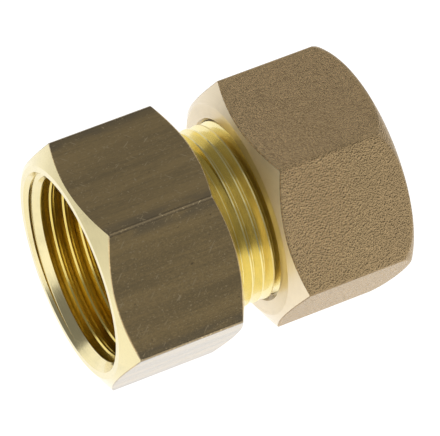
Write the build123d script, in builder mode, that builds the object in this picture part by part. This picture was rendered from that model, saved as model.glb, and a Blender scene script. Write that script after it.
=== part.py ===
from build123d import *
import os
from math import radians, tan

# Compression fitting: a body with a female G 3/4 port at one end and an 18 mm tube socket at
# the other, the olive that seals on the tube, and the nut that squeezes the olive.
# Frame: the fitting's axis is X and the nut is at the +X end. The origin is on the axis,
# midway between the two end faces, and both hexagons have a flat facing straight down (-Z).
# All sizes are in millimetres.

# ---- the two hexagons -------------------------------------------------------------------
ACROSS_FLATS = 30.0          # both take the same spanner
FACE_RADIUS = 14.34          # where each corner chamfer meets its end face
CHAMFER_ANGLE = 30.0         # the corner chamfers, measured from the end face
FITTING_LENGTH = 42.0        # port face to the nut's back face, as assembled
BODY_HEX_LENGTH = 17.6
NUT_LENGTH = 18.3
BAR_CORNER_RADIUS = 0.5      # the drawn bar's own corners
TURNED_EDGE_RADIUS = 0.2     # the edges of the turned end faces and chamfers
FORGED_EDGE_RADIUS = 0.6     # the forged nut's corners are softer
CROWN_RADIUS = 5.0           # the nut's back is rounded off from flats to face, not chamfered
CROWN_FACE_RADIUS = 12.6     # where that rounding meets the back face

# ---- female port, G 3/4 (ISO 228) -------------------------------------------------------
PORT_PITCH = 25.4 / 14
PORT_HALF_ANGLE = 27.5       # Whitworth form
PORT_CREST_RADIUS = 12.3     # the standard's minor diameter is 24.12 to 24.66
PORT_ROOT_RADIUS = 13.22
PORT_ROOT_WIDTH = 0.3
PORT_CREST_BEVEL = 0.15      # the crests' edges are eased, which leaves a narrow land between
PORT_TOP_X = -19.8           # the groove's middle, where it passes the top of the port
PORT_TURNS = 8
PORT_MOUTH_RADIUS = 13.5     # the conical lead-in, at the face
PORT_LEAD_IN = 1.85
PORT_THREAD_LENGTH = 10.4    # from the lead-in to the relief
PORT_RELIEF_LENGTH = 2.2
PORT_RELIEF_RADIUS = 13.4

# ---- compression thread, M24 x 1.5, on the shank and in the nut --------------------------
PITCH = 1.5
HALF_ANGLE = 30.0
SHANK_CREST_RADIUS = 11.92
SHANK_ROOT_RADIUS = 10.85
SHANK_CREST_WIDTH = 0.19
SHANK_TOP_X = -0.65          # the groove's middle, where it passes the top of the shank
SHANK_TURNS = 10
SHANK_LENGTH = 15.0
SHANK_RELIEF_LENGTH = 0.9
SHANK_RELIEF_RADIUS = 10.8
NUT_CREST_RADIUS = 11.25
NUT_ROOT_RADIUS = 12.1
NUT_TURNS = 7
FLANK_CLEARANCE = 0.08       # along the axis, between the shank's flanks and the nut's
NUT_COUNTERSINK_RADIUS = 12.4
NUT_THREAD_LENGTH = 9.3      # from the nut's front face to the relief
NUT_RELIEF_LENGTH = 1.3
NUT_RELIEF_RADIUS = 12.3
THREAD_OVERRUN = 0.05        # how far a thread's cutter stands clear of the crests

# ---- waterway, tube socket and cone seats -----------------------------------------------
WATERWAY_RADIUS = 7.75
SOCKET_RADIUS = 9.05         # for a tube 18 mm outside
SOCKET_STOP_X = -2.2         # the shoulder that the tube butts against
SEAT_ANGLE = 20.0            # half angle of both seats and of the olive
SEAT_MOUTH_RADIUS = 10.45
NUT_SEAT_RADIUS = 10.75
TUBE_HOLE_RADIUS = 9.2       # through the nut's back wall
TUBE_HOLE_CHAMFER = 0.8

# ---- olive ------------------------------------------------------------------------------
OLIVE_BORE_RADIUS = 9.09
OLIVE_CROWN_RADIUS = 10.55
OLIVE_END_RADIUS = 9.45
OLIVE_LAND = 0.8
OLIVE_EDGE_RADIUS = 0.1
OLIVE_GAP = 0.106            # between the olive's cone and the nut's seat, along a radius

# ---- places along the axis that follow from the sizes ------------------------------------
PORT_FACE_X = -FITTING_LENGTH / 2
PORT_THREAD_X = PORT_FACE_X + PORT_LEAD_IN
PORT_RELIEF_X = PORT_THREAD_X + PORT_THREAD_LENGTH
PORT_SHOULDER_X = PORT_RELIEF_X + PORT_RELIEF_LENGTH
SHANK_START_X = PORT_FACE_X + BODY_HEX_LENGTH
SHANK_THREAD_X = SHANK_START_X + SHANK_RELIEF_LENGTH
SHANK_END_X = SHANK_START_X + SHANK_LENGTH
NUT_BACK_X = FITTING_LENGTH / 2
NUT_FRONT_X = NUT_BACK_X - NUT_LENGTH
NUT_RELIEF_X = NUT_FRONT_X + NUT_THREAD_LENGTH
NUT_SEAT_X = NUT_RELIEF_X + NUT_RELIEF_LENGTH

# ---- other sizes that follow ------------------------------------------------------------
CORNER_RADIUS = ACROSS_FLATS / 2 / 0.75**0.5
CORNER_CHAMFER = (CORNER_RADIUS - FACE_RADIUS) * tan(radians(CHAMFER_ANGLE))
PORT_SLOPE = tan(radians(PORT_HALF_ANGLE))
THREAD_SLOPE = tan(radians(HALF_ANGLE))
SEAT_SLOPE = tan(radians(SEAT_ANGLE))
SEAT_DEPTH = (SEAT_MOUTH_RADIUS - SOCKET_RADIUS) / SEAT_SLOPE
NUT_SEAT_DEPTH = (NUT_SEAT_RADIUS - TUBE_HOLE_RADIUS) / SEAT_SLOPE
OLIVE_CONE = (OLIVE_CROWN_RADIUS - OLIVE_END_RADIUS) / SEAT_SLOPE
OLIVE_LAND_END_X = NUT_SEAT_X + (NUT_SEAT_RADIUS - OLIVE_GAP - OLIVE_CROWN_RADIUS) / SEAT_SLOPE
OLIVE_LAND_X = OLIVE_LAND_END_X - OLIVE_LAND
CROWN_LENGTH = CROWN_RADIUS - (CROWN_RADIUS**2 - (CORNER_RADIUS - CROWN_FACE_RADIUS) ** 2) ** 0.5
CROWN_X = NUT_BACK_X - CROWN_LENGTH

# Every turned outline stands in the half plane that goes up through the middle of a flat, so
# that no seam of a turned surface runs along a corner of the hexagon.
TURNING_PLANE = Plane.XY.rotated((30, 0, 0))


def turn(points, mode):
    """A solid of revolution about X, from a closed outline of (x, radius) points."""
    with BuildSketch(TURNING_PLANE) as outline:
        with BuildLine():
            Polyline(*points, close=True)
        make_face()
    revolve(outline.sketch, axis=Axis.X, mode=mode)


def hexagon(start_x, length):
    """A hexagon along X with a flat on top."""
    with BuildSketch(Plane.YZ.offset(start_x)) as section:
        RegularPolygon(radius=ACROSS_FLATS / 2, side_count=6, major_radius=False)
    extrude(section.sketch, amount=length)


def cut_thread(pitch, slope, crest_radius, root_radius, mouth_width, top_x, start_x, turns, bevel=0):
    """A right-hand V groove along X, whose middle passes the top of the circle at top_x.

    bevel is how far the edges of the crests are eased, both along the axis and in depth.
    """
    single_turns = [
        Helix(
            pitch=pitch,
            height=pitch,
            radius=crest_radius,
            center=(start_x + turn_number * pitch, 0, 0),
            direction=(1, 0, 0),
            mode=Mode.PRIVATE,
        )
        for turn_number in range(turns)
    ]
    turned = 360 * (start_x - top_x) / pitch
    helix = Wire(single_turns).rotate(Axis.X, turned)
    depth = root_radius - crest_radius
    outwards = 1 if depth > 0 else -1
    if bevel:
        clear_width = mouth_width / 2 + bevel + THREAD_OVERRUN * (1 + slope)
        side = [(-THREAD_OVERRUN, clear_width), (bevel, mouth_width / 2 - bevel * slope)]
    else:
        side = [(-THREAD_OVERRUN, mouth_width / 2 + THREAD_OVERRUN * slope)]
    side.append((abs(depth), mouth_width / 2 - abs(depth) * slope))
    groove = [(outwards * deep, half_width) for deep, half_width in side]
    groove += [(deep, -half_width) for deep, half_width in reversed(groove)]
    profile_plane = Plane(
        origin=helix @ 0,
        x_dir=Vector(0, 0, 1).rotate(Axis.X, turned),
        z_dir=helix % 0,
    )
    with BuildSketch(profile_plane) as profile:
        with BuildLine():
            Polyline(*groove, close=True)
        make_face()
    sweep(profile.sketch, path=helix, is_frenet=True, mode=Mode.SUBTRACT)


os.makedirs("parts", exist_ok=True)

# ---- fitting body -----------------------------------------------------------------------
with BuildPart() as fitting_body:
    hexagon(PORT_FACE_X, BODY_HEX_LENGTH)
    turn(
        (
            (PORT_FACE_X, 0),
            (PORT_FACE_X, FACE_RADIUS),
            (PORT_FACE_X + CORNER_CHAMFER, CORNER_RADIUS),
            (SHANK_START_X - CORNER_CHAMFER, CORNER_RADIUS),
            (SHANK_START_X, FACE_RADIUS),
            (SHANK_START_X, 0),
        ),
        Mode.INTERSECT,
    )
    fillet(fitting_body.edges().filter_by(Axis.X), radius=BAR_CORNER_RADIUS)
    chamfer_arcs = fitting_body.edges().filter_by(GeomType.HYPERBOLA)
    face_circles = fitting_body.edges().filter_by(GeomType.CIRCLE)
    fillet(chamfer_arcs + face_circles, radius=TURNED_EDGE_RADIUS)
    # the shank that the nut screws onto, with a thread relief beside the hexagon
    turn(
        (
            (SHANK_START_X - 1, 0),
            (SHANK_START_X - 1, SHANK_RELIEF_RADIUS),
            (SHANK_THREAD_X, SHANK_RELIEF_RADIUS),
            (SHANK_THREAD_X, SHANK_CREST_RADIUS),
            (SHANK_END_X - (SHANK_CREST_RADIUS - SHANK_RELIEF_RADIUS), SHANK_CREST_RADIUS),
            (SHANK_END_X, SHANK_RELIEF_RADIUS),
            (SHANK_END_X, 0),
        ),
        Mode.ADD,
    )
    # the way through: port, relief, shoulder, waterway, tube socket and conical seat
    turn(
        (
            (PORT_FACE_X, 0),
            (PORT_FACE_X, PORT_MOUTH_RADIUS),
            (PORT_THREAD_X, PORT_CREST_RADIUS),
            (PORT_RELIEF_X, PORT_CREST_RADIUS),
            (PORT_RELIEF_X, PORT_RELIEF_RADIUS),
            (PORT_SHOULDER_X, PORT_RELIEF_RADIUS),
            (PORT_SHOULDER_X, WATERWAY_RADIUS),
            (SOCKET_STOP_X, WATERWAY_RADIUS),
            (SOCKET_STOP_X, SOCKET_RADIUS),
            (SHANK_END_X - SEAT_DEPTH, SOCKET_RADIUS),
            (SHANK_END_X, SEAT_MOUTH_RADIUS),
            (SHANK_END_X, 0),
        ),
        Mode.SUBTRACT,
    )
    cut_thread(
        pitch=PORT_PITCH,
        slope=PORT_SLOPE,
        crest_radius=PORT_CREST_RADIUS,
        root_radius=PORT_ROOT_RADIUS,
        mouth_width=PORT_ROOT_WIDTH + 2 * (PORT_ROOT_RADIUS - PORT_CREST_RADIUS) * PORT_SLOPE,
        top_x=PORT_TOP_X,
        start_x=PORT_RELIEF_X + PORT_RELIEF_LENGTH / 2 - PORT_TURNS * PORT_PITCH,
        turns=PORT_TURNS,
        bevel=PORT_CREST_BEVEL,
    )
    cut_thread(
        pitch=PITCH,
        slope=THREAD_SLOPE,
        crest_radius=SHANK_CREST_RADIUS,
        root_radius=SHANK_ROOT_RADIUS,
        mouth_width=PITCH - SHANK_CREST_WIDTH,
        top_x=SHANK_TOP_X,
        start_x=SHANK_START_X + PITCH / 2,
        turns=SHANK_TURNS,
    )
fitting_body.part.label = "fitting_body"
export_step(fitting_body.part, "parts/fitting_body.step")

# ---- olive ------------------------------------------------------------------------------
with BuildPart() as olive:
    turn(
        (
            (OLIVE_LAND_X - OLIVE_CONE, OLIVE_BORE_RADIUS),
            (OLIVE_LAND_X - OLIVE_CONE, OLIVE_END_RADIUS),
            (OLIVE_LAND_X, OLIVE_CROWN_RADIUS),
            (OLIVE_LAND_END_X, OLIVE_CROWN_RADIUS),
            (OLIVE_LAND_END_X + OLIVE_CONE, OLIVE_END_RADIUS),
            (OLIVE_LAND_END_X + OLIVE_CONE, OLIVE_BORE_RADIUS),
        ),
        Mode.ADD,
    )
    rims = olive.edges().filter_by(GeomType.CIRCLE).filter_by(lambda rim: rim.radius > OLIVE_BORE_RADIUS)
    fillet(rims, radius=OLIVE_EDGE_RADIUS)
olive.part.label = "olive"
export_step(olive.part, "parts/olive.step")

# ---- compression nut --------------------------------------------------------------------
with BuildPart() as compression_nut:
    hexagon(NUT_FRONT_X, NUT_LENGTH)
    with BuildSketch(TURNING_PLANE) as blank:
        with BuildLine():
            Polyline(
                (NUT_BACK_X, 0),
                (NUT_FRONT_X, 0),
                (NUT_FRONT_X, FACE_RADIUS),
                (NUT_FRONT_X + CORNER_CHAMFER, CORNER_RADIUS),
                (CROWN_X, CORNER_RADIUS),
            )
            RadiusArc((CROWN_X, CORNER_RADIUS), (NUT_BACK_X, CROWN_FACE_RADIUS), CROWN_RADIUS)
            Line((NUT_BACK_X, CROWN_FACE_RADIUS), (NUT_BACK_X, 0))
        make_face()
    revolve(blank.sketch, axis=Axis.X, mode=Mode.INTERSECT)
    # the corners and the crown are as forged, and the front chamfer is turned
    corners = compression_nut.edges().filter_by(Axis.X)
    crown_arcs = compression_nut.edges().filter_by(GeomType.BSPLINE)
    fillet(corners + crown_arcs, radius=FORGED_EDGE_RADIUS)
    front_arcs = compression_nut.edges().filter_by(GeomType.HYPERBOLA)
    front_circle = compression_nut.edges().filter_by(GeomType.CIRCLE).sort_by(Axis.X)[:1]
    fillet(front_arcs + front_circle, radius=TURNED_EDGE_RADIUS)
    # the thread's countersink, its core, the relief, the seat and the tube hole
    turn(
        (
            (NUT_FRONT_X, 0),
            (NUT_FRONT_X, NUT_COUNTERSINK_RADIUS),
            (NUT_FRONT_X + NUT_COUNTERSINK_RADIUS - NUT_CREST_RADIUS, NUT_CREST_RADIUS),
            (NUT_RELIEF_X, NUT_CREST_RADIUS),
            (NUT_RELIEF_X, NUT_RELIEF_RADIUS),
            (NUT_SEAT_X, NUT_RELIEF_RADIUS),
            (NUT_SEAT_X, NUT_SEAT_RADIUS),
            (NUT_SEAT_X + NUT_SEAT_DEPTH, TUBE_HOLE_RADIUS),
            (NUT_BACK_X - TUBE_HOLE_CHAMFER, TUBE_HOLE_RADIUS),
            (NUT_BACK_X, TUBE_HOLE_RADIUS + TUBE_HOLE_CHAMFER),
            (NUT_BACK_X, 0),
        ),
        Mode.SUBTRACT,
    )
    cut_thread(
        pitch=PITCH,
        slope=THREAD_SLOPE,
        crest_radius=NUT_CREST_RADIUS,
        root_radius=NUT_ROOT_RADIUS,
        mouth_width=SHANK_CREST_WIDTH
        + 2 * (SHANK_CREST_RADIUS - NUT_CREST_RADIUS) * THREAD_SLOPE
        + 2 * FLANK_CLEARANCE,
        top_x=SHANK_TOP_X + PITCH / 2,
        start_x=NUT_RELIEF_X + NUT_RELIEF_LENGTH / 2 - NUT_TURNS * PITCH,
        turns=NUT_TURNS,
    )
compression_nut.part.label = "compression_nut"
export_step(compression_nut.part, "parts/compression_nut.step")
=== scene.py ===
from math import cos, pi, radians, sin

import bpy
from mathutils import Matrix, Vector


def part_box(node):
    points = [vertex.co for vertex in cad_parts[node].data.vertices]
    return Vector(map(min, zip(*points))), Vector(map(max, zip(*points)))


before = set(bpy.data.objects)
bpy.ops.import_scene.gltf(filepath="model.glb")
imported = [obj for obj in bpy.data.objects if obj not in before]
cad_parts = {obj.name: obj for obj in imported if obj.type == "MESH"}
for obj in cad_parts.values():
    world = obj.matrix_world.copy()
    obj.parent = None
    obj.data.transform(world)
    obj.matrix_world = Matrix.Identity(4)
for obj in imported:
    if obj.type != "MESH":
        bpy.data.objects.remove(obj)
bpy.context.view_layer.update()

# The looks of a compression fitting: a body machined from drawn hexagon bar, an olive, and a
# hot-forged, sand-blasted nut. Lengths are in metres unless they say millimetres, in the frame of
# the CAD model: the fitting's axis is X, with the nut at the +X end, and both hexagons rest on a
# flat. The patterns of the materials are in millimetres.
MM = 0.001

# ---- places read from the frame -----------------------------------------------------------
body_low, body_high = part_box("fitting_body")
nut_low, nut_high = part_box("compression_nut")
FLAT_DISTANCE = nut_high.z           # from the axis to a flat
FLOOR_Z = nut_low.z
FLAT_NORMALS = [Vector((0, cos(radians(a)), sin(radians(a)))) for a in range(30, 390, 60)]

# ---- what tells one finish's faces from another's -----------------------------------------
FLAT_DEPTH = 0.2 * MM                # the flats and the rounded corners are no deeper than this
END_FACING = 0.8                     # a chamfer or an end has more of its normal along X
SHANK_LENGTH = 15 * MM               # from the body's +X end
LEAD_IN_LENGTH = 2 * MM              # from the body's -X end to the port's whole threads
PORT_RADIUS = 13.6 * MM              # outside the roots of the port's thread
PORT_CREST_RADIUS = 12.25 * MM       # outside the crests of the port's thread
NUT_INSIDE_RADIUS = 12.5 * MM        # outside the nut's thread

# ---- camera -------------------------------------------------------------------------------
CAMERA_AZIMUTH = radians(-26.824)
CAMERA_ELEVATION = radians(48.294)
CAMERA_DISTANCE = 0.6356
CAMERA_LENS = 407.7                  # mm
CAMERA_SENSOR = 36                   # mm
CAMERA_CLIP_START = 0.01
CAMERA_TARGET = Vector((0.00037, 0, 0))
CAMERA_DROP = 0.000295               # how far below the target the picture's middle is

# ---- studio -------------------------------------------------------------------------------
ROOM = (0.22, 0.22, 0.22)
FLOOR_COLOUR = (0.15, 0.15, 0.15)
FLOOR_SIZE = 6.0
FLOOR_ROUGHNESS = 0.9
FLOOR_WHITE = (1.0, 1.0, 1.0)        # the colour of its glow
GLOW_REACH = (45.0, 150.0)           # mm from the middle, between which the glow fades
GLOW_STRENGTH = (1.06, 0.78)         # at those two distances
FLOOR_DIM = 0.25                     # what is left of the glow in front of the fitting
DIM_FROM_Y = (-180.0, -120.0)        # mm: wholly dim in front of the first, not past the second
DIM_TO_X = (-60.0, -160.0)           # mm: to the left of the first the glow comes back
LIGHTS = (
    # name, azimuth and elevation in degrees, width, height, brightness
    ("back_light", 60, 11, 1.15, 0.38, 0.56),
    ("back_left_light", 109, 10, 0.66, 0.5, 0.9),
    ("left_light", 210, 16, 0.93, 0.63, 1.0),
    ("right_light", 0, 20, 0.9, 0.6, 0.8),
    ("front_light", -68, 41, 0.9, 0.6, 0.14),
    ("top_front_light", -55, 66, 1.0, 0.5, 0.3),
)

# ---- brass colours, linear ----------------------------------------------------------------
TURNED_BRASS = (0.84, 0.73, 0.40)
THREAD_BRASS = (0.90, 0.77, 0.34)
# the port's brass: a deeper, more saturated yellow than the other turned brass, as painted bounce
# light inside the port
PORT_BRASS_WITH_PAINTED_BOUNCE = (0.80, 0.62, 0.16)
NUT_TURNED = (0.84, 0.715, 0.50)
BAR_BRASS = (0.68, 0.49, 0.225)
BAR_DARK = (0.47, 0.35, 0.175)
# painted shade: the dark band beside each corner of the hexagon
BAR_SHADE_BESIDE_CORNERS = (0.30, 0.25, 0.17)
# painted shade on the rounded corners, which dulls their highlight
BAR_SHADE_ON_CORNERS = (0.31, 0.235, 0.13)
BAR_WORN = (0.86, 0.68, 0.40)
BAR_TINT = (0.82, 0.85, 0.9)         # of what it reflects at a low angle
FORGED_BRASS = (0.64, 0.455, 0.235)
# the skin's darker tone in broad clouds, and painted shade in the grain's hollows
FORGED_CLOUD_AND_GRAIN_SHADE = (0.52, 0.37, 0.19)
FORGED_TINT = (0.82, 0.82, 0.82)
PIT_BROWN = (0.12, 0.08, 0.04)
STAIN_SHADE = 0.86                   # how much of turned brass's colour is left in a stain

# ---- patterns, with their lengths in millimetres ------------------------------------------
DRAW_STRETCH = 0.06                  # for the bar's draw lines, X counts for so little
MOTTLE_STRETCH = 0.5                 # and for its mottle and its patches of painted shade beside the corners
PAINTED_SHADE_RADII = (16.7, 17.3)         # no painted shade within the first, the most past the second
PAINTED_SHADE_RAGGED = 0.7                 # how far its edge wanders
CORNER_RADII = (17.12, 17.17)        # the same for the painted shade on the bar's rounded corners
LINE_DEPTH = 0.002
MOTTLE_DEPTH = 0.006
SCRATCH_TURNS = ((0, 0, 35), (0, 0, -50), (0, 35, 15), (0, -40, 30), (0, -20, -60))   # degrees
SCRATCH_SIZE = (1.9, 0.2, 0.2)
SCRATCH_STRENGTH = 0.8
PIT_STRENGTH = 0.6
LATHE_DEPTH = 0.003
LATHE_STRETCH = 0.15                 # how little a lathe's marks change with the angle
GRAIN_SHORTENING = 1.7               # along X
# Grains per millimetre. Noise is weakest on planes that are a whole number of its cells from the
# axis, and at this scale the nut's flats, 15 mm from the axis, are between two of them.
GRAIN_SCALE = 4.815
COARSE_GRAIN_SCALE = 2.8
GRAIN_DEPTH = 1.2

# ---- sockets of a mix node that mixes colours ---------------------------------------------
MIX_FACTOR, MIX_FIRST, MIX_SECOND = 0, 6, 7
MIX_RESULT = 2


def make_camera():
    """The camera, looking down at the fitting from the left of its port."""
    back = Vector((
        sin(CAMERA_AZIMUTH) * cos(CAMERA_ELEVATION),
        -cos(CAMERA_AZIMUTH) * cos(CAMERA_ELEVATION),
        sin(CAMERA_ELEVATION),
    ))
    right = Vector((cos(CAMERA_AZIMUTH), sin(CAMERA_AZIMUTH), 0))
    up = back.cross(right)
    data = bpy.data.cameras.new("camera")
    data.lens = CAMERA_LENS
    data.sensor_width = CAMERA_SENSOR
    data.clip_start = CAMERA_CLIP_START
    camera = bpy.data.objects.new("camera", data)
    camera.location = CAMERA_TARGET - CAMERA_DROP * up + CAMERA_DISTANCE * back
    camera.rotation_euler = back.to_track_quat("Z", "Y").to_euler()
    bpy.context.scene.collection.objects.link(camera)
    bpy.context.scene.camera = camera


# ---- a short way to write a material's nodes ----------------------------------------------
class Finish:
    """One material, of metal to begin with, and the kinds of node that its pattern is made of."""

    def __init__(self, name):
        self.material = bpy.data.materials.new(name)
        self.material.use_nodes = True
        self.nodes = self.material.node_tree.nodes
        self.shader = self.nodes["Principled BSDF"]
        self.set("Metallic", 1.0)

    def fill(self, socket, value):
        """Links a node's output to a socket, or sets the socket to a plain value."""
        if isinstance(value, bpy.types.NodeSocket):
            self.material.node_tree.links.new(value, socket)
        elif isinstance(value, tuple) and len(value) == 3 and socket.type == "RGBA":
            socket.default_value = (*value, 1)
        else:
            socket.default_value = value

    def set(self, name, value):
        """Fills one of the shader's own sockets."""
        self.fill(self.shader.inputs[name], value)

    def place(self):
        """Where a point of the surface is, in millimetres along X, Y and Z."""
        coordinates = self.nodes.new("ShaderNodeTexCoord")
        scaled = self.nodes.new("ShaderNodeVectorMath")
        scaled.operation = "SCALE"
        self.fill(scaled.inputs[0], coordinates.outputs["Object"])
        scaled.inputs["Scale"].default_value = 1 / MM
        return scaled.outputs["Vector"]

    def split(self, vector):
        node = self.nodes.new("ShaderNodeSeparateXYZ")
        self.fill(node.inputs[0], vector)
        return node.outputs

    def join(self, x, y, z):
        node = self.nodes.new("ShaderNodeCombineXYZ")
        for socket, value in zip(node.inputs, (x, y, z)):
            self.fill(socket, value)
        return node.outputs[0]

    def math(self, operation, *values):
        node = self.nodes.new("ShaderNodeMath")
        node.operation = operation
        for socket, value in zip(node.inputs, values):
            self.fill(socket, value)
        return node.outputs[0]

    def distance(self, first, second):
        """How far a point is from where both of these are 0."""
        squares = [self.math("POWER", value, 2.0) for value in (first, second)]
        return self.math("SQRT", self.math("ADD", *squares))

    def add_up(self, *parts):
        """The sum of some values, each of them given with its weight."""
        weighted = [self.math("MULTIPLY", value, weight) for value, weight in parts]
        total = weighted[0]
        for value in weighted[1:]:
            total = self.math("ADD", total, value)
        return total

    def along_x(self, place, factor):
        """The place with X multiplied: under 1 draws a pattern out along X, over 1 shortens it."""
        x, y, z = self.split(place)
        return self.join(self.math("MULTIPLY", x, factor), y, z)

    def noise(self, vector, scale, detail=2.0, roughness=0.5):
        node = self.nodes.new("ShaderNodeTexNoise")
        self.fill(node.inputs["Vector"], vector)
        node.inputs["Scale"].default_value = scale
        node.inputs["Detail"].default_value = detail
        node.inputs["Roughness"].default_value = roughness
        return node.outputs["Fac"]

    def grains(self, vector, scale):
        """How far a point is from the middle of the nearest of many close-set grains."""
        node = self.nodes.new("ShaderNodeTexVoronoi")
        node.feature = "SMOOTH_F1"
        self.fill(node.inputs["Vector"], vector)
        node.inputs["Scale"].default_value = scale
        return node.outputs["Distance"]

    def ramp(self, value, low, high, to_low=0.0, to_high=1.0):
        """A smooth step from to_low, at low, to to_high, at high."""
        node = self.nodes.new("ShaderNodeMapRange")
        node.interpolation_type = "SMOOTHSTEP"
        for socket, given in zip(node.inputs, (value, low, high, to_low, to_high)):
            self.fill(socket, given)
        return node.outputs["Result"]

    def blend(self, factor, first, second):
        """One colour passing into another."""
        node = self.nodes.new("ShaderNodeMix")
        node.data_type = "RGBA"
        self.fill(node.inputs[MIX_FACTOR], factor)
        self.fill(node.inputs[MIX_FIRST], first)
        self.fill(node.inputs[MIX_SECOND], second)
        return node.outputs[MIX_RESULT]

    def bump(self, height, depth, under=None):
        """A normal from a height of 0 to 1, depth millimetres from lowest to highest."""
        node = self.nodes.new("ShaderNodeBump")
        node.inputs["Distance"].default_value = depth * MM
        self.fill(node.inputs["Height"], height)
        if under is not None:
            self.fill(node.inputs["Normal"], under)
        return node.outputs["Normal"]

    def coat(self, weight, roughness):
        self.set("Coat Weight", weight)
        self.set("Coat Roughness", roughness)

    def finish(self, colour, roughness, normal):
        self.set("Base Color", colour)
        self.set("Roughness", roughness)
        self.set("Normal", normal)
        return self.material


def scratches(finish, place, turn):
    """A mask of sparse, short, thin marks, all along one direction."""
    turned_place = finish.nodes.new("ShaderNodeMapping")
    turned_place.vector_type = "TEXTURE"
    finish.fill(turned_place.inputs["Vector"], place)
    turned_place.inputs["Rotation"].default_value = [radians(a) for a in turn]
    turned_place.inputs["Scale"].default_value = SCRATCH_SIZE
    marks = finish.noise(turned_place.outputs["Vector"], scale=1.0, detail=0.0)
    return finish.ramp(marks, 0.78, 0.81, to_high=SCRATCH_STRENGTH)


def pits(finish, place, colour):
    """The colour with a few pinholes in it."""
    holes = finish.noise(place, scale=2.4, detail=0.0)
    deep = finish.ramp(holes, 0.14, 0.18, to_low=PIT_STRENGTH, to_high=0.0)
    return finish.blend(deep, colour, PIT_BROWN)


def drawn_bar():
    """The flats of drawn hexagon bar: dull, with fine draw lines along X and a few scratches."""
    bar = Finish("drawn_bar_brass")
    place = bar.place()
    drawn_out = bar.along_x(place, DRAW_STRETCH)
    longish = bar.along_x(place, MOTTLE_STRETCH)
    broad = bar.noise(drawn_out, scale=0.3, detail=3.0, roughness=0.55)
    lines = bar.noise(drawn_out, scale=4.0, detail=3.0, roughness=0.6)
    mottle = bar.noise(longish, scale=5.5, detail=3.0, roughness=0.7)
    tone = bar.add_up((broad, 0.55), (lines, 0.25), (mottle, 0.2))
    colour = bar.blend(bar.ramp(tone, 0.39, 0.61), BAR_DARK, BAR_BRASS)

    # painted shade in ragged patches beside each corner of the hexagon
    radius = bar.distance(*bar.split(place)[1:])
    wander = bar.noise(drawn_out, scale=1.2, detail=3.0, roughness=0.6)
    ragged = bar.math("ADD", radius, bar.math("MULTIPLY", wander, PAINTED_SHADE_RAGGED))
    patch = bar.noise(longish, scale=0.35, detail=2.0, roughness=0.5)
    patchy = bar.ramp(patch, 0.38, 0.58, to_low=0.15, to_high=0.62)
    beside = bar.math("MULTIPLY", bar.ramp(ragged, *PAINTED_SHADE_RADII), patchy)
    colour = bar.blend(beside, colour, BAR_SHADE_BESIDE_CORNERS)

    # painted shade on the corner itself: a darker brown that dulls the corner's highlight
    uneven = bar.ramp(mottle, 0.35, 0.6, to_low=1.0, to_high=0.6)
    on_corner = bar.math("MULTIPLY", bar.ramp(radius, *CORNER_RADII), uneven)
    colour = bar.blend(on_corner, colour, BAR_SHADE_ON_CORNERS)

    for turn in SCRATCH_TURNS:
        colour = bar.blend(scratches(bar, place, turn), colour, BAR_WORN)
    colour = pits(bar, place, colour)
    normal = bar.bump(mottle, MOTTLE_DEPTH, under=bar.bump(lines, LINE_DEPTH))
    bar.set("Specular Tint", BAR_TINT)
    bar.coat(weight=0.6, roughness=0.2)
    return bar.finish(colour, bar.ramp(mottle, 0.3, 0.7, to_low=0.16, to_high=0.26), normal)


def turned(name, colour, roughness=0.16):
    """A surface cut on the lathe: bright, with fine rings about the axis."""
    metal = Finish(name)
    place = metal.place()
    x, y, z = metal.split(place)
    angle = metal.math("MULTIPLY", metal.math("ARCTAN2", z, y), LATHE_STRETCH)
    ring = metal.join(x, metal.distance(y, z), angle)
    marks = metal.noise(ring, scale=6.0, detail=4.0, roughness=0.7)
    stain = metal.noise(place, scale=0.45, detail=4.0, roughness=0.6)
    stained = tuple(c * STAIN_SHADE for c in colour)
    tone = metal.blend(metal.ramp(stain, 0.45, 0.75, to_high=0.5), colour, stained)
    rough = metal.ramp(marks, 0.3, 0.7, to_low=roughness, to_high=roughness + 0.1)
    metal.coat(weight=0.6, roughness=0.12)
    return metal.finish(tone, rough, metal.bump(marks, LATHE_DEPTH))


def forged():
    """The nut's skin: forged, then sand-blasted to an even grain."""
    skin = Finish("forged_brass")
    place = skin.place()
    shortened = skin.along_x(place, GRAIN_SHORTENING)
    fine = skin.noise(shortened, GRAIN_SCALE, detail=0.0)
    coarse = skin.grains(shortened, COARSE_GRAIN_SCALE)
    grain = skin.add_up((fine, 0.65), (coarse, -0.35))
    cloud = skin.noise(place, scale=0.25, detail=3.0, roughness=0.5)
    # the grain's hollows darker: painted shade, keyed to the same grain as the bump
    colour = skin.blend(skin.ramp(grain, 0.05, 0.28), FORGED_CLOUD_AND_GRAIN_SHADE, FORGED_BRASS)
    colour = skin.blend(skin.ramp(cloud, 0.35, 0.65, to_high=0.25), colour, FORGED_CLOUD_AND_GRAIN_SHADE)
    colour = pits(skin, place, colour)
    skin.set("Specular Tint", FORGED_TINT)
    skin.coat(weight=0.1, roughness=0.3)
    return skin.finish(colour, 0.27, skin.bump(grain, GRAIN_DEPTH))


# ---- which faces of a CAD node have which finish ------------------------------------------
def give_finishes(node, finishes, choose):
    """Puts the finishes on a CAD node, and gives each face the one that choose picks."""
    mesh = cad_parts[node].data
    mesh.materials.clear()
    for finish in finishes:
        mesh.materials.append(finish)
    for face in mesh.polygons:
        face.material_index = choose(face.center, face.normal)


def from_axis(centre):
    """How far the middle of a face is from the fitting's axis."""
    return Vector((0, centre.y, centre.z)).length


def on_hexagon(centre, normal):
    """True on a flat or the rounded corner between two flats."""
    outwards = max(centre.dot(flat) for flat in FLAT_NORMALS)
    return outwards > FLAT_DISTANCE - FLAT_DEPTH and abs(normal.x) < END_FACING


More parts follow.
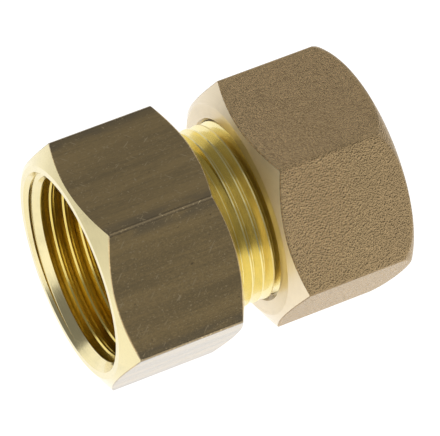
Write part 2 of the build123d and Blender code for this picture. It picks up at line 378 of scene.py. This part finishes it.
def body_finish(centre, normal):
    """0 for drawn bar, 1 for faced and chamfered metal, 2 for the shank, 3 for the port, whose
    brass has painted bounce light.
    """
    if on_hexagon(centre, normal):
        return 0
    if centre.x > body_high.x - SHANK_LENGTH:
        return 2
    past_lead_in = centre.x > body_low.x + LEAD_IN_LENGTH
    return 3 if from_axis(centre) < (PORT_RADIUS if past_lead_in else PORT_CREST_RADIUS) else 1


def nut_finish(centre, normal):
    """0 for the forged skin, 1 for the turned inside and the end that faces the body."""
    return 1 if from_axis(centre) < NUT_INSIDE_RADIUS or normal.x < -END_FACING else 0


# ---- floor and lights ---------------------------------------------------------------------
def make_floor():
    """A plain pale floor that gives light, as a light table does, but less in front."""
    mesh = bpy.data.meshes.new("floor")
    half = FLOOR_SIZE / 2
    corners = [(x * half, y * half, FLOOR_Z) for x, y in ((-1, -1), (1, -1), (1, 1), (-1, 1))]
    mesh.from_pydata(corners, [], [(0, 1, 2, 3)])
    floor = bpy.data.objects.new("floor", mesh)
    bpy.context.scene.collection.objects.link(floor)
    pale = Finish("pale_floor")
    x, y = pale.split(pale.place())[:2]
    in_front = pale.math(
        "MAXIMUM",
        pale.ramp(y, *DIM_FROM_Y, to_low=FLOOR_DIM),
        pale.ramp(x, *DIM_TO_X),
    )
    glow = pale.ramp(pale.distance(x, y), *GLOW_REACH, *GLOW_STRENGTH)
    pale.set("Metallic", 0.0)
    pale.set("Base Color", FLOOR_COLOUR)
    pale.set("Roughness", FLOOR_ROUGHNESS)
    pale.set("Emission Color", FLOOR_WHITE)
    pale.set("Emission Strength", pale.math("MULTIPLY", glow, in_front))
    mesh.materials.append(pale.material)


def make_light(name, azimuth, elevation, width, height, brightness):
    """A soft light a metre from the fitting and facing it. Azimuth 0 is +X, and 90 is +Y."""
    data = bpy.data.lights.new(name, "AREA")
    data.shape = "RECTANGLE"
    data.size = width
    data.size_y = height
    data.energy = brightness * pi * width * height
    around, up = radians(azimuth), radians(elevation)
    light = bpy.data.objects.new(name, data)
    light.location = (cos(around) * cos(up), sin(around) * cos(up), sin(up))
    light.rotation_euler = light.location.to_track_quat("Z", "Y").to_euler()
    light.visible_camera = False
    bpy.context.scene.collection.objects.link(light)


def make_studio():
    """The floor, a dim room, and soft boxes all round, the dimmest of them in front."""
    make_floor()
    world = bpy.data.worlds.new("studio")
    world.use_nodes = True
    world.node_tree.nodes["Background"].inputs["Color"].default_value = (*ROOM, 1)
    bpy.context.scene.world = world
    bpy.context.scene.view_settings.view_transform = "Standard"
    for light in LIGHTS:
        make_light(*light)


make_camera()
make_studio()
give_finishes(
    "fitting_body",
    [
        drawn_bar(),
        turned("turned_brass", TURNED_BRASS),
        turned("threaded_brass", THREAD_BRASS),
        # the port's inside is the same brass, coloured with painted bounce light
        turned("port_brass_with_painted_bounce_light", PORT_BRASS_WITH_PAINTED_BOUNCE),
    ],
    body_finish,
)
give_finishes("olive", [turned("olive_brass", TURNED_BRASS)], lambda centre, normal: 0)
give_finishes(
    "compression_nut",
    [forged(), turned("nut_turned_brass", NUT_TURNED, roughness=0.38)],
    nut_finish,
)
